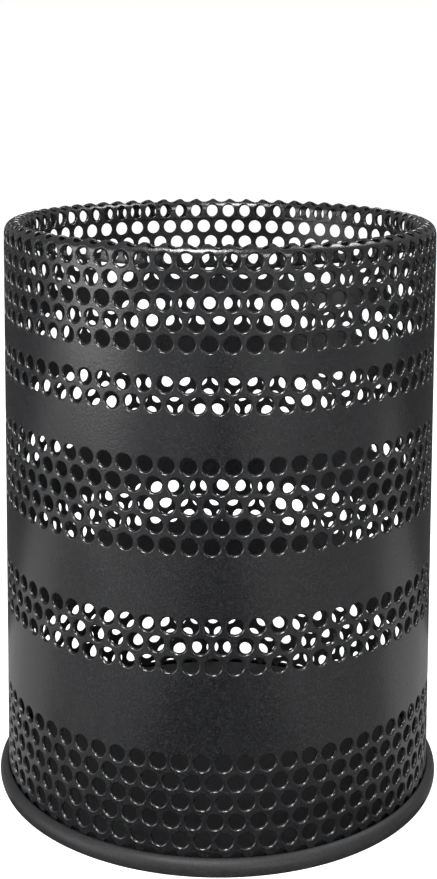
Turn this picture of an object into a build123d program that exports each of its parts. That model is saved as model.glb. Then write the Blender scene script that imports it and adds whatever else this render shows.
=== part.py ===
from build123d import *
import math
import os

# Pen holder cup: a punched sheet-steel wall whose top edge is rolled inwards, standing in the
# curled edge of a pressed base. Millimetres, +Z up, the table at z = 0, the front towards -Y.

# Driving dimensions
height = 130.0
wall_radius = 49.4  # outside face of the wall
wall_sheet = 0.8
rim_bend_radius = 2.15  # middle of the sheet, where the rim rolls over
skirt_below_bend = 2.26  # how far the rolled-in edge runs down past the bend
base_sheet = 0.6
floor_height = 3.0  # top of the floor above the table
floor_bend = 0.9  # outside of the bend from the floor down to the channel
bead_radius = 51.4  # widest point of the base bead
bead_curl = 2.4  # radius of the bead's outside
bead_height = 3.4
bead_lip_angle = math.radians(70)  # how far up round the curl its lip ends

# The punched pattern: rows counted downwards, row 0 the first below the rim roll
holes_round = 68
hole_diameter = 3.25
row_pitch = 4.136
band_rows = (7, 2, 5, 3, 6)  # punched rows in each band, the first band starting on the skirt
blank_rows = (1, 2, 3, 4)  # rows left plain below each band but the last
first_row = -2
pattern_turn = 0.514  # where row 0 starts, in hole pitches from the front
row_drift = 0.0136  # how far each row creeps round, in hole pitches
row_stagger = 0.432  # how far every second row is set round, in hole pitches
skirt_row_rise = 0.45  # how far the skirt's holes are drawn up above row 0 by the rolling

# Worked out from the driving dimensions
hole_radius = hole_diameter / 2
wall_mid_radius = wall_radius - wall_sheet / 2
wall_bore_radius = wall_radius - wall_sheet
wall_foot_z = base_sheet
rim_axis_radius = wall_mid_radius - rim_bend_radius
rim_axis_z = height - rim_bend_radius - wall_sheet / 2
rim_outside = rim_bend_radius + wall_sheet / 2
rim_inside = rim_bend_radius - wall_sheet / 2
skirt_mid_radius = rim_axis_radius - rim_bend_radius
skirt_edge_z = rim_axis_z - skirt_below_bend
apex_row = first_row + 1
row_zero_z = rim_axis_z - (row_pitch - math.pi * rim_bend_radius / 2)
bead_axis_radius = bead_radius - bead_curl
bead_axis_z = bead_height - bead_curl * math.sin(bead_lip_angle)
bead_foot_angle = -math.asin(bead_axis_z / bead_curl)
channel_angle = -math.asin((bead_axis_z - base_sheet) / (bead_curl - base_sheet))
punch_length = 3 * wall_sheet


def row_z(row):
    """Height of a row's hole centres on the straight wall."""
    return row_zero_z - row * row_pitch


def punched_rows():
    """The rows that have holes, from the skirt down to the base."""
    rows = []
    row = first_row
    for count, blank in zip(band_rows, blank_rows + (0,)):
        rows += range(row, row + count)
        row += count + blank
    return rows


def hole_angles(row):
    """Angles of a row's holes round the axis, from +X, in degrees."""
    start = pattern_turn + row_drift * row + row_stagger * (row % 2)
    return [360 / holes_round * (k + start) - 90 for k in range(holes_round)]


def wall_punches(row, radius, z):
    """One punch for each hole of a row that goes through an upright part of the sheet."""
    punch = Pos(radius, 0, z) * Rot(0, 90, 0) * Cylinder(hole_radius, punch_length)
    return [Rot(0, 0, angle) * punch for angle in hole_angles(row)]


def apex_punches():
    """The punches of the row along the top of the rim roll."""
    punch = Pos(rim_axis_radius, 0, rim_axis_z + rim_bend_radius) * Cylinder(hole_radius, punch_length)
    return [Rot(0, 0, angle) * punch for angle in hole_angles(apex_row)]


def plain_wall():
    """The wall before it is punched: upright, rolled over inwards at the rim, and down into the skirt."""
    with BuildSketch(Plane.XZ) as section:
        with BuildLine():
            Line((wall_radius, wall_foot_z), (wall_radius, rim_axis_z))
            ThreePointArc(
                (wall_radius, rim_axis_z),
                (rim_axis_radius, height),
                (rim_axis_radius - rim_outside, rim_axis_z),
            )
            Polyline(
                (rim_axis_radius - rim_outside, rim_axis_z),
                (rim_axis_radius - rim_outside, skirt_edge_z),
                (rim_axis_radius - rim_inside, skirt_edge_z),
                (rim_axis_radius - rim_inside, rim_axis_z),
            )
            ThreePointArc(
                (rim_axis_radius - rim_inside, rim_axis_z),
                (rim_axis_radius, rim_axis_z + rim_inside),
                (wall_bore_radius, rim_axis_z),
            )
            Polyline(
                (wall_bore_radius, rim_axis_z),
                (wall_bore_radius, wall_foot_z),
                (wall_radius, wall_foot_z),
            )
        make_face()
    return revolve(section.sketch, Axis.Z)


def perforated_wall():
    """The punched wall, all in one piece: skirt, rim roll and upright wall."""
    punches = wall_punches(first_row, skirt_mid_radius, row_zero_z + skirt_row_rise)
    punches += apex_punches()
    for row in punched_rows():
        if row > apex_row:
            punches += wall_punches(row, wall_mid_radius, row_z(row))
    return plain_wall() - punches


def bead_point(radius, angle):
    """A point of the bead's curl, as (distance from the cup's axis, height)."""
    return (
        bead_axis_radius + radius * math.cos(angle),
        bead_axis_z + radius * math.sin(angle),
    )


def base_pan():
    """The pressed base: a raised floor, a channel that the wall stands in, and a curled bead."""
    inside = bead_curl - base_sheet
    leg_radius = wall_bore_radius - base_sheet
    inner_bend = floor_bend - base_sheet
    floor_underside = floor_height - base_sheet
    with BuildSketch(Plane.XZ) as section:
        with BuildLine():
            Line((0, floor_underside), (0, floor_height))
            Line((0, floor_height), (wall_bore_radius - floor_bend, floor_height))
            RadiusArc(
                (wall_bore_radius - floor_bend, floor_height),
                (wall_bore_radius, floor_height - floor_bend),
                floor_bend,
            )
            Polyline(
                (wall_bore_radius, floor_height - floor_bend),
                (wall_bore_radius, base_sheet),
                bead_point(inside, channel_angle),
            )
            ThreePointArc(
                bead_point(inside, channel_angle),
                bead_point(inside, 0),
                bead_point(inside, bead_lip_angle),
            )
            Line(bead_point(inside, bead_lip_angle), bead_point(bead_curl, bead_lip_angle))
            ThreePointArc(
                bead_point(bead_curl, bead_lip_angle),
                bead_point(bead_curl, 0),
                bead_point(bead_curl, bead_foot_angle),
            )
            Line(bead_point(bead_curl, bead_foot_angle), (wall_bore_radius, 0))
            RadiusArc((wall_bore_radius, 0), (leg_radius, base_sheet), base_sheet)
            Line((leg_radius, base_sheet), (leg_radius, floor_height - floor_bend))
            RadiusArc(
                (leg_radius, floor_height - floor_bend),
                (leg_radius - inner_bend, floor_underside),
                -inner_bend,
            )
            Line((leg_radius - inner_bend, floor_underside), (0, floor_underside))
        make_face()
    return revolve(section.sketch, Axis.Z)


os.makedirs("parts", exist_ok=True)
export_step(perforated_wall(), "parts/perforated_wall.step", write_pcurves=False)
export_step(base_pan(), "parts/base_pan.step")
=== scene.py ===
import math

import bmesh
import bpy
from mathutils import Euler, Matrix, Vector
from mathutils.geometry import delaunay_2d_cdt


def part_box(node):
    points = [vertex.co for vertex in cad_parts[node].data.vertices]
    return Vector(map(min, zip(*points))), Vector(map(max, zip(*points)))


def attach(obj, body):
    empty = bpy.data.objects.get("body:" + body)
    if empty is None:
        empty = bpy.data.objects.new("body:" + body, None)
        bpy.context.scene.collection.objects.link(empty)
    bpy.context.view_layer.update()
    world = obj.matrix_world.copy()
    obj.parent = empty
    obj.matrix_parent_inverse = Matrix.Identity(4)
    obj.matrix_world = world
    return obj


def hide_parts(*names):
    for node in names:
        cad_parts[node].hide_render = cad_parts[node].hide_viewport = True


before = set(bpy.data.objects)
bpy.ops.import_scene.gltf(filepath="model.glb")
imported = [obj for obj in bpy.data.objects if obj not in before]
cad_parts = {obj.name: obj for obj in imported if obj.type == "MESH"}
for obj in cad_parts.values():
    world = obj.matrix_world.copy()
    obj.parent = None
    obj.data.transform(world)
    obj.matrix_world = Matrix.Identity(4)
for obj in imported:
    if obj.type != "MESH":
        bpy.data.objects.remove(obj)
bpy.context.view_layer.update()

# Pen holder cup: punched steel wall with a rolled rim, standing in a pressed base. Metres, +Z up,
# the front towards -Y. Lengths that the frame doesn't hold are written in millimetres, times MM.
MM = 0.001

wall_low, wall_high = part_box("perforated_wall")
base_low, base_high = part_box("base_pan")

# The wall's sheet
WALL_RADIUS = wall_high.x
RIM_TOP = wall_high.z
WALL_FOOT = wall_low.z
SHEET = 0.8 * MM
HALF_SHEET = SHEET / 2
MID_RADIUS = WALL_RADIUS - HALF_SHEET
RIM_BEND = 2.15 * MM
SKIRT_BELOW_BEND = 2.26 * MM
RIM_AXIS_RADIUS = MID_RADIUS - RIM_BEND
RIM_AXIS_Z = RIM_TOP - RIM_BEND - HALF_SHEET

# The punched pattern, with rows counted down from the first below the rim roll
HOLES_ROUND = 68
HOLE_RADIUS = 1.625 * MM
ROW_PITCH = 4.136 * MM
BAND_ROWS = (7, 2, 5, 3, 6)
BLANK_ROWS = (1, 2, 3, 4)
FIRST_ROW = -2
LAST_ROW = FIRST_ROW + sum(BAND_ROWS) + sum(BLANK_ROWS) - 1
PATTERN_TURN = 0.514
ROW_DRIFT = 0.0136
ROW_STAGGER = 0.432
SKIRT_ROW_RISE = 0.45 * MM
COLUMN_PITCH = 2 * math.pi * MID_RADIUS / HOLES_ROUND
ROW_ZERO_Z = RIM_AXIS_Z - (ROW_PITCH - math.pi * RIM_BEND / 2)

# Distances along the flat sheet, measured up from row 0
BEND_START = RIM_AXIS_Z - ROW_ZERO_Z
BEND_END = BEND_START + math.pi * RIM_BEND
SHEET_TOP = BEND_END + SKIRT_BELOW_BEND
SHEET_FOOT = WALL_FOOT - ROW_ZERO_Z
SKIRT_ROW_ALONG = BEND_END + BEND_START - SKIRT_ROW_RISE

# How the coated edge of a hole rounds over, across the face and into the sheet. The first and last
# rows are close to the sheet's cut edges, so theirs is narrower.
HOLE_SIDES = 16
EDGE_WIDTH = 0.42 * MM
EDGE_DEPTH = 0.4 * MM
EDGE_PROFILE = (  # share of the width still to go, share of the depth reached, tilt in degrees
    (0.74, 0.10, 38),
    (0.38, 0.48, 54),
    (0.0, 1.0, 84),
)
NARROW_EDGE_WIDTH = 0.2 * MM
BACK_WIDTH = 0.12 * MM
CUT_EDGE_BULGE = 0.2 * MM
BEND_LEVEL = 0.6 * MM
BEND_COLUMNS = 6

# The base, all of one sheet
BASE_SHEET = 0.6 * MM
FLOOR_TOP = 3.0 * MM
FLOOR_BEND = 0.9 * MM
BEAD_RADIUS = base_high.x
BEAD_TOP = base_high.z
BEAD_CURL = 2.4 * MM
LIP_ANGLE = math.radians(70)
BASE_STEPS = 256


def punched_rows():
    """The rows that have holes, from the skirt down to the base."""
    rows = []
    row = FIRST_ROW
    for count, blank in zip(BAND_ROWS, BLANK_ROWS + (0,)):
        rows += range(row, row + count)
        row += count + blank
    return rows


def row_start(row):
    """Distance round the flat sheet from the front to a row's first hole, which is near the back."""
    turn = PATTERN_TURN + ROW_DRIFT * row + ROW_STAGGER * (row % 2) - HOLES_ROUND // 2
    return COLUMN_PITCH * turn


def row_along(row):
    """How far up the flat sheet a row is. The skirt's own row is drawn up by the rolling of the rim."""
    return SKIRT_ROW_ALONG if row == FIRST_ROW else -row * ROW_PITCH


def lean_at(along):
    """How far the sheet has rolled over at a distance along it, from upright to upside down."""
    return min(max((along - BEND_START) / RIM_BEND, 0.0), math.pi)


def rolled(across, along, depth):
    """Where a point of the flat sheet is once the sheet is rolled into the cup."""
    turn = across / MID_RADIUS
    lean = lean_at(along)
    radius = RIM_AXIS_RADIUS + (RIM_BEND + depth) * math.cos(lean)
    height = RIM_AXIS_Z + (RIM_BEND + depth) * math.sin(lean)
    height += min(along - BEND_START, 0.0) - max(along - BEND_END, 0.0)
    return Vector((math.sin(turn) * radius, -math.cos(turn) * radius, height))


def directions(across, along):
    """The rolled sheet's own directions at a point: round the cup, along the sheet, and outwards."""
    turn = across / MID_RADIUS
    lean = lean_at(along)
    flat_out = Vector((math.sin(turn), -math.cos(turn), 0.0))
    sideways = Vector((math.cos(turn), math.sin(turn), 0.0))
    up = Vector((0.0, 0.0, 1.0))
    upwards = up * math.cos(lean) - flat_out * math.sin(lean)
    outwards = flat_out * math.cos(lean) + up * math.sin(lean)
    return sideways, upwards, outwards


class Skin:
    """The points of one closed mesh, with the exact normal at each, and its faces."""

    def __init__(self):
        self.points = []
        self.normals = []
        self.faces = []

    def add(self, point, normal):
        self.points.append(point)
        self.normals.append(normal)
        return len(self.points) - 1

    def strip(self, first, second, closed=True):
        """Joins two rows of points, each as long as the other, with four-sided faces."""
        count = len(first)
        for i in range(count if closed else count - 1):
            j = (i + 1) % count
            self.faces.append((first[i], first[j], second[j], second[i]))

    def made(self, name):
        """The finished piece, with its faces turned outwards and its exact normals set."""
        mesh = bpy.data.meshes.new(name)
        mesh.from_pydata(self.points, [], self.faces)
        work = bmesh.new()
        work.from_mesh(mesh)
        bmesh.ops.recalc_face_normals(work, faces=work.faces)
        work.to_mesh(mesh)
        work.free()
        mesh.shade_smooth()
        mesh.normals_split_custom_set_from_vertices(self.normals)
        piece = bpy.data.objects.new(name, mesh)
        bpy.context.scene.collection.objects.link(piece)
        return piece


def circle(centre, radius):
    """Places evenly round a hole's centre on the flat sheet."""
    turns = [2 * math.pi * side / HOLE_SIDES for side in range(HOLE_SIDES)]
    return [(centre[0] + radius * math.cos(turn), centre[1] + radius * math.sin(turn)) for turn in turns]


class FlatSheet:
    """The punched sheet laid flat: its points, the outlines that must show, and the faces between."""

    def __init__(self):
        self.points = []
        self.edges = []
        self.outline_of = {}
        self.behind = {}
        self.holes = []
        self.foot = self.add_outline(self.add_line(SHEET_FOOT))
        self.top = self.add_outline(self.add_line(SHEET_TOP))

    def add(self, across, along):
        self.points.append((across, along))
        return len(self.points) - 1

    def add_outline(self, ring):
        """A closed line of points. Faces with all three corners on one outline fill it, and are left out."""
        self.edges += list(zip(ring, ring[1:] + ring[:1]))
        for point in ring:
            self.outline_of[point] = ring[0]
        return ring

    def add_hole(self, row, number):
        """One hole's outline, where its rounded edge meets the face, and its narrower outline behind."""
        centre = (row_start(row) + number * COLUMN_PITCH, row_along(row))
        width = NARROW_EDGE_WIDTH if row in (FIRST_ROW, LAST_ROW) else EDGE_WIDTH
        ring = [self.add(*place) for place in circle(centre, HOLE_RADIUS + width)]
        self.behind.update(zip(ring, circle(centre, HOLE_RADIUS + BACK_WIDTH)))
        self.holes.append((centre, width, self.add_outline(ring)))

    def add_line(self, along):
        """Points right round the sheet at one level, two for each hole of a row."""
        return [self.add(step * COLUMN_PITCH / 2, along) for step in range(2 * HOLES_ROUND)]

    def add_bend_points(self):
        """Points between the holes of the rim roll, close enough together to round it."""
        levels = round((BEND_END - BEND_START) / BEND_LEVEL)
        clear = HOLE_RADIUS + EDGE_WIDTH + BACK_WIDTH
        for level in range(levels + 1):
            along = BEND_START + (BEND_END - BEND_START) * level / levels
            for step in range(BEND_COLUMNS * HOLES_ROUND):
                across = (step + level % 2 / 2) * COLUMN_PITCH / BEND_COLUMNS
                if all(self.distance(across, along, row) > clear for row in range(FIRST_ROW, 1)):
                    self.add(across, along)

    def distance(self, across, along, row):
        """How far a point is from the nearest hole of a row."""
        away = (across - row_start(row)) % COLUMN_PITCH
        away = min(away, COLUMN_PITCH - away)
        return math.hypot(away, along - row_along(row))

    def triangles(self):
        """The sheet's faces, found with the sheet spread into a disc so that its two ends meet."""
        disc = []
        for across, along in self.points:
            turn = across / MID_RADIUS
            reach = math.exp(along / MID_RADIUS)
            disc.append(Vector((reach * math.cos(turn), reach * math.sin(turn))))
        _, _, faces, origins, _, _ = delaunay_2d_cdt(disc, self.edges, [], 1, 1e-7)
        kept = []
        for face in faces:
            corners = [origins[corner][0] for corner in face]
            outlines = {self.outline_of.get(corner, -1) for corner in corners}
            if len(outlines) > 1 or -1 in outlines:
                kept.append(corners)
        return kept


def punched_sheet():
    """The flat sheet with every row of holes, and lines of points where its rows are left plain."""
    sheet = FlatSheet()
    punched = punched_rows()
    for row in range(FIRST_ROW, LAST_ROW + 1):
        if row in punched:
            for number in range(HOLES_ROUND):
                sheet.add_hole(row, number)
        else:
            sheet.add_line(row_along(row))
    sheet.add_bend_points()
    return sheet


def hole_edge(skin, hole, front, back):
    """Rolls a hole's edge over from the face into the sheet, and on to the back."""
    centre, width, outline = hole
    last = [front[point] for point in outline]
    for across_share, deep_share, tilt in EDGE_PROFILE:
        radius = HOLE_RADIUS + width * across_share
        depth = HALF_SHEET - EDGE_DEPTH * deep_share
        lean = math.radians(tilt)
        ring = []
        for across, along in circle(centre, radius):
            sideways, upwards, outwards = directions(across, along)
            inwards = sideways * (centre[0] - across) + upwards * (centre[1] - along)
            normal = outwards * math.cos(lean) + inwards.normalized() * math.sin(lean)
            ring.append(skin.add(rolled(across, along, depth), normal))
        skin.strip(last, ring)
        last = ring
    skin.strip(last, [back[point] for point in outline])


def cut_edge(skin, sheet, line, front, back, bulge):
    """Closes the sheet's thickness along its foot or its top, which bulges by the length given."""
    middle = []
    for point in line:
        across, along = sheet.points[point]
        upwards = directions(across, along)[1]
        normal = upwards if along > 0 else -upwards
        middle.append(skin.add(rolled(across, along + bulge, 0.0), normal))
    skin.strip([front[point] for point in line], middle)
    skin.strip(middle, [back[point] for point in line])


def make_wall():
    """The wall: the flat sheet's faces rolled into the cup, front and back, and joined at every edge."""
    sheet = punched_sheet()
    skin = Skin()
    front = []
    back = []
    for index, place in enumerate(sheet.points):
        behind = sheet.behind.get(index, place)
        front.append(skin.add(rolled(*place, HALF_SHEET), directions(*place)[2]))
        back.append(skin.add(rolled(*behind, -HALF_SHEET), -directions(*behind)[2]))
    for a, b, c in sheet.triangles():
        skin.faces.append((front[a], front[b], front[c]))
        skin.faces.append((back[c], back[b], back[a]))
    for hole in sheet.holes:
        hole_edge(skin, hole, front, back)
    cut_edge(skin, sheet, sheet.foot, front, back, 0.0)
    cut_edge(skin, sheet, sheet.top, front, back, CUT_EDGE_BULGE)
    return skin.made("wall")


def arc(centre, radius, first_angle, last_angle, steps):
    """Points along an arc of a section, as (distance from the axis, height)."""
    points = []
    for step in range(steps + 1):
        angle = first_angle + (last_angle - first_angle) * step / steps
        points.append((centre[0] + radius * math.cos(angle), centre[1] + radius * math.sin(angle)))
    return points


def base_section():
    """The base's section, from the middle of the floor out to the bead and back underneath."""
    bore = WALL_RADIUS - SHEET
    leg = bore - BASE_SHEET
    bend = (bore - FLOOR_BEND, FLOOR_TOP - FLOOR_BEND)
    curl = (BEAD_RADIUS - BEAD_CURL, BEAD_TOP - BEAD_CURL * math.sin(LIP_ANGLE))
    inside = BEAD_CURL - BASE_SHEET
    middle = BEAD_CURL - BASE_SHEET / 2
    lip = (curl[0] + middle * math.cos(LIP_ANGLE), curl[1] + middle * math.sin(LIP_ANGLE))
    channel_angle = -math.asin((curl[1] - BASE_SHEET) / inside)
    foot_angle = -math.asin(curl[1] / BEAD_CURL)
    right = math.pi / 2
    section = [(0.0, FLOOR_TOP)]
    section += arc(bend, FLOOR_BEND, right, 0.0, steps=6)
    section += [(bore, BASE_SHEET)]
    section += arc(curl, inside, channel_angle, LIP_ANGLE, steps=16)
    section += arc(lip, BASE_SHEET / 2, LIP_ANGLE + math.pi, LIP_ANGLE, steps=6)[1:-1]
    section += arc(curl, BEAD_CURL, LIP_ANGLE, foot_angle, steps=24)
    section += arc((bore, BASE_SHEET), BASE_SHEET, -right, -2 * right, steps=6)
    section += arc(bend, FLOOR_BEND - BASE_SHEET, 0.0, right, steps=4)
    section += [(0.0, FLOOR_TOP - BASE_SHEET)]
    return section


def section_normals(section):
    """The outward normal at each point of a section, where a longer side counts for more."""
    normals = []
    for before, point, after in zip([section[0]] + section, section, section[1:] + [section[-1]]):
        normals.append(Vector((before[1] - after[1], after[0] - before[0])))
    return normals


def make_base():
    """The base, turned from its section."""
    section = base_section()
    skin = Skin()
    rings = []
    for (radius, height), across in zip(section, section_normals(section)):
        ring = []
        for step in range(1 if radius == 0 else BASE_STEPS):
            turn = 2 * math.pi * step / BASE_STEPS
            out = Vector((math.sin(turn), -math.cos(turn), 0.0))
            normal = out * across[0] + Vector((0.0, 0.0, across[1]))
            ring.append(skin.add(out * radius + Vector((0.0, 0.0, height)), normal.normalized()))
        rings.append(ring)
    for first, second in zip(rings, rings[1:]):
        if len(first) == len(second):
            skin.strip(first, second)
        else:
            centre, ring = sorted((first, second), key=len)
            for i in range(BASE_STEPS):
                skin.faces.append((centre[0], ring[i], ring[(i + 1) % BASE_STEPS]))
    return skin.made("base")


# ---- Materials ----

# How fine each pattern is, in cycles for each metre along X, Y and Z
MOTTLE = (60, 60, 40)
# The next scale is for vertical streaks painted into the coat's colour: a painted reflection of the room on
# the round wall.
REFLECTION_STREAKS = (420, 420, 14)
SPECKS = (2600, 2600, 2600)
ORANGE_PEEL = (2200, 2200, 2200)
PAPER_GRAIN = (300, 300, 300)
PEEL_DEPTH = 0.05 * MM
# How strongly the painted reflection streaks lighten and darken the coat's colour.
REFLECTION_STREAK_STRENGTH = 0.6


def new_material(name):
    """A material, with its nodes, its links and its shader."""
    material = bpy.data.materials.new(name)
    material.use_nodes = True
    shader = material.node_tree.nodes["Principled BSDF"]
    return material, material.node_tree.nodes, material.node_tree.links, shader


def stretched_noise(nodes, links, scale, detail, roughness):
    """Noise in the object's own space, with a scale for each axis."""
    place = nodes.new("ShaderNodeTexCoord")
    mapping = nodes.new("ShaderNodeMapping")
    mapping.inputs["Scale"].default_value = scale
    noise = nodes.new("ShaderNodeTexNoise")
    noise.inputs["Scale"].default_value = 1.0
    noise.inputs["Detail"].default_value = detail
    noise.inputs["Roughness"].default_value = roughness
    links.new(place.outputs["Object"], mapping.inputs["Vector"])
    links.new(mapping.outputs["Vector"], noise.inputs["Vector"])
    return noise.outputs["Fac"]


def ramp(nodes, links, factor, stops):
    """Colours or values at places between 0 and 1."""
    node = nodes.new("ShaderNodeValToRGB")
    elements = node.color_ramp.elements
    for element, (position, colour) in zip(elements, (stops[0], stops[-1])):
        element.position = position
        element.color = (*colour, 1.0)
    for position, colour in stops[1:-1]:
        elements.new(position).color = (*colour, 1.0)
    links.new(factor, node.inputs["Fac"])
    return node.outputs["Color"]


def mixed(nodes, links, kind, factor, first, second):
    """Two colours put together, the second one with the strength given."""
    node = nodes.new("ShaderNodeMix")
    node.data_type = "RGBA"
    node.blend_type = kind
    node.inputs["Factor"].default_value = factor
    links.new(first, node.inputs["A"])
    links.new(second, node.inputs["B"])
    return node.outputs["Result"]


def powder_coat(name, dark, light, roughness, peel, gloss):
    """Satin black powder coat: faint mottling, vertical streaks of painted reflection, fine specks, and an
    orange-peel surface.
    """
    material, nodes, links, shader = new_material(name)
    mottle = stretched_noise(nodes, links, MOTTLE, 3.0, 0.6)
    reflection_streak = stretched_noise(nodes, links, REFLECTION_STREAKS, 2.0, 0.5)
    speck = stretched_noise(nodes, links, SPECKS, 2.0, 0.7)
    orange_peel = stretched_noise(nodes, links, ORANGE_PEEL, 2.0, 0.6)
    base = ramp(nodes, links, mottle, [(0.3, dark), (0.7, light)])
    # Vertical streaks lightened and darkened in the colour: a painted reflection of the room, not a mark of
    # the coat.
    reflection_streaks = ramp(nodes, links, reflection_streak, [(0.35, (0.47, 0.47, 0.47)), (0.65, (0.53, 0.53, 0.53))])
    specks = ramp(nodes, links, speck, [(0.48, (0.0, 0.0, 0.0)), (0.66, (0.015, 0.0155, 0.0165))])
    colour = mixed(nodes, links, "OVERLAY", REFLECTION_STREAK_STRENGTH, base, reflection_streaks)
    colour = mixed(nodes, links, "ADD", 1.0, colour, specks)
    links.new(colour, shader.inputs["Base Color"])
    spread = nodes.new("ShaderNodeMapRange")
    spread.inputs["From Min"].default_value = 0.3
    spread.inputs["From Max"].default_value = 0.7
    spread.inputs["To Min"].default_value = roughness[0]
    spread.inputs["To Max"].default_value = roughness[1]
    links.new(mottle, spread.inputs["Value"])
    links.new(spread.outputs["Result"], shader.inputs["Roughness"])
    bump = nodes.new("ShaderNodeBump")
    bump.inputs["Strength"].default_value = peel
    bump.inputs["Distance"].default_value = PEEL_DEPTH
    links.new(orange_peel, bump.inputs["Height"])
    links.new(bump.outputs["Normal"], shader.inputs["Normal"])
    shader.inputs["Specular IOR Level"].default_value = gloss
    return material


def wall_coating():
    """The wall's coat, the smoother and glossier of the two."""
    dark = (0.0038, 0.0040, 0.0050)
    light = (0.0062, 0.0065, 0.0078)
    return powder_coat("wall_coating", dark, light, roughness=(0.23, 0.31), peel=0.9, gloss=1.0)


def base_coating():
    """The base's coat, a little lighter and duller than the wall's."""
    dark = (0.012, 0.0122, 0.0135)
    light = (0.018, 0.0183, 0.0195)
    return powder_coat("base_coating", dark, light, roughness=(0.48, 0.56), peel=0.6, gloss=0.5)


def floor_material():
    """Matt white studio paper with a barely visible grain."""
    material, nodes, links, shader = new_material("studio_paper")
    grain = stretched_noise(nodes, links, PAPER_GRAIN, 2.0, 0.5)
    colour = ramp(nodes, links, grain, [(0.0, (0.80, 0.80, 0.80)), (1.0, (0.86, 0.86, 0.86))])
    links.new(colour, shader.inputs["Base Color"])
    shader.inputs["Roughness"].default_value = 0.9
    shader.inputs["Emission Color"].default_value = (1.0, 1.0, 1.0, 1.0)
    shader.inputs["Emission Strength"].default_value = 0.85
    return material


# ---- The pieces ----

wall = make_wall()
wall.data.materials.append(wall_coating())
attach(wall, "root")
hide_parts("perforated_wall")

base = make_base()
base.data.materials.append(base_coating())
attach(base, "root")
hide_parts("base_pan")


# ---- Studio ----

FLOOR_SIZE = 6.0
CUP_MIDDLE = (0.0, 0.0, RIM_TOP / 2)
ROOM_FRONT = 0.07  # how bright the room that the cup reflects is, in front and behind
ROOM_BACK = 0.23
CARD_LIFT = 0.02 * MM
CARD_REACH = 1.5


def make_floor():
    """A wide sheet of pale paper under the cup."""
    mesh = bpy.data.meshes.new("floor")
    half = FLOOR_SIZE / 2
    corners = [(-half, -half, 0.0), (half, -half, 0.0), (half, half, 0.0), (-half, half, 0.0)]
    mesh.from_pydata(corners, [], [(0, 1, 2, 3)])
    mesh.materials.append(floor_material())
    floor = bpy.data.objects.new("floor", mesh)
    bpy.context.scene.collection.objects.link(floor)


def make_soft_light(name, place, target, size, power):
    """A rectangular softbox at a place, turned towards a target."""
    light = bpy.data.lights.new(name, "AREA")
    light.shape = "RECTANGLE"
    light.size, light.size_y = size
    light.energy = power
    lamp = bpy.data.objects.new(name, light)
    lamp.location = place
    lamp.rotation_euler = (Vector(target) - Vector(place)).to_track_quat("-Z", "Y").to_euler()
    lamp.visible_camera = False
    bpy.context.scene.collection.objects.link(lamp)


def make_world():
    """A white backdrop. The room that the cup reflects is dimmer, and darkest in front."""
    world = bpy.data.worlds.new("studio_white")
    world.use_nodes = True
    nodes = world.node_tree.nodes
    links = world.node_tree.links
    place = nodes.new("ShaderNodeTexCoord")
    split = nodes.new("ShaderNodeSeparateXYZ")
    links.new(place.outputs["Generated"], split.inputs["Vector"])
    depth = nodes.new("ShaderNodeMapRange")
    depth.inputs["From Min"].default_value = -1.0
    depth.inputs["From Max"].default_value = 0.3
    depth.inputs["To Min"].default_value = ROOM_FRONT
    depth.inputs["To Max"].default_value = ROOM_BACK
    links.new(split.outputs["Y"], depth.inputs["Value"])
    rays = nodes.new("ShaderNodeLightPath")
    seen = nodes.new("ShaderNodeMix")
    seen.inputs["B"].default_value = 1.0
    links.new(rays.outputs["Is Camera Ray"], seen.inputs["Factor"])
    links.new(depth.outputs["Result"], seen.inputs["A"])
    background = nodes["Background"]
    background.inputs["Color"].default_value = (1.0, 1.0, 1.0, 1.0)
    links.new(seen.outputs["Result"], background.inputs["Strength"])
    bpy.context.scene.world = world


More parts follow.
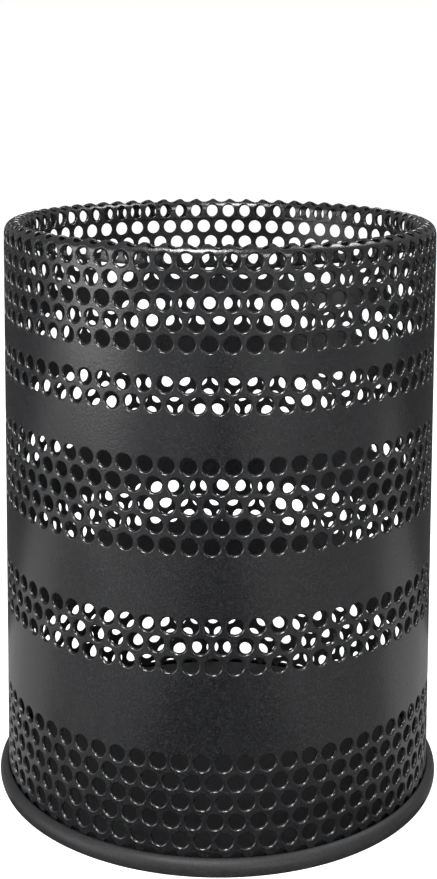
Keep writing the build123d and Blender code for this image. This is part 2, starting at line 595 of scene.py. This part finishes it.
def make_card(name, left, right, front, back, grey):
    """A card lying on the table between four sides, which only shows in reflections."""
    mesh = bpy.data.meshes.new(name)
    places = [(left, front), (right, front), (right, back), (left, back)]
    mesh.from_pydata([(x, y, CARD_LIFT) for x, y in places], [], [(0, 1, 2, 3)])
    material, _, _, shader = new_material(name)
    shader.inputs["Base Color"].default_value = (grey, grey, grey, 1.0)
    shader.inputs["Roughness"].default_value = 1.0
    mesh.materials.append(material)
    card = bpy.data.objects.new(name, mesh)
    card.visible_camera = False
    card.visible_diffuse = False
    card.visible_shadow = False
    bpy.context.scene.collection.objects.link(card)


make_floor()
make_world()
make_soft_light("top_softbox", (-0.12, -0.4, 0.75), CUP_MIDDLE, (0.25, 0.2), 5.0)
make_soft_light("side_softbox", (0.4, 0.1, 0.7), CUP_MIDDLE, (0.25, 0.2), 2.0)
make_soft_light("front_softbox", (0.3, -0.7, 0.3), CUP_MIDDLE, (0.3, 0.15), 1.6)
make_soft_light("left_softbox", (-0.65, -0.3, 0.2), CUP_MIDDLE, (0.5, 0.4), 2.2)
make_card("left_card", -CARD_REACH, -0.05, -CARD_REACH, -0.02, grey=0.21)
make_card("front_card", -0.05, 0.05, -CARD_REACH, -0.02, grey=0.02)
make_card("right_card", 0.05, CARD_REACH, -CARD_REACH, -0.02, grey=0.2)
make_card("side_card", -CARD_REACH, CARD_REACH, -0.02, 0.07, grey=0.46)
make_card("back_card", -CARD_REACH, CARD_REACH, 0.07, CARD_REACH, grey=0.08)

# ---- Camera ----

# The lens and sensor are in millimetres, the shift is a share of the view's height, and the angles
# are in radians. The camera stands in front of the cup, a little above row 0.
SENSOR = 36.0
LENS = 58.677
LENS_SHIFT = -0.26223
CAMERA_BACK = 6.644 * WALL_RADIUS
CAMERA_UP = 0.797 * WALL_RADIUS
CAMERA_PITCH = 0.1031
CAMERA_ROLL = -0.0048
CAMERA_TURN = 0.0017


def make_camera():
    """A camera a little above the rim, looking slightly down at the front."""
    data = bpy.data.cameras.new("camera")
    data.sensor_width = SENSOR
    data.lens = LENS
    data.shift_y = LENS_SHIFT
    data.clip_start = 0.01
    data.clip_end = 20.0
    camera = bpy.data.objects.new("camera", data)
    camera.location = (0.0, -CAMERA_BACK, ROW_ZERO_Z + CAMERA_UP)
    camera.rotation_euler = Euler((math.pi / 2 - CAMERA_PITCH, CAMERA_ROLL, CAMERA_TURN), "XYZ")
    bpy.context.scene.collection.objects.link(camera)
    bpy.context.scene.camera = camera


make_camera()
bpy.context.scene.view_settings.view_transform = "Standard"
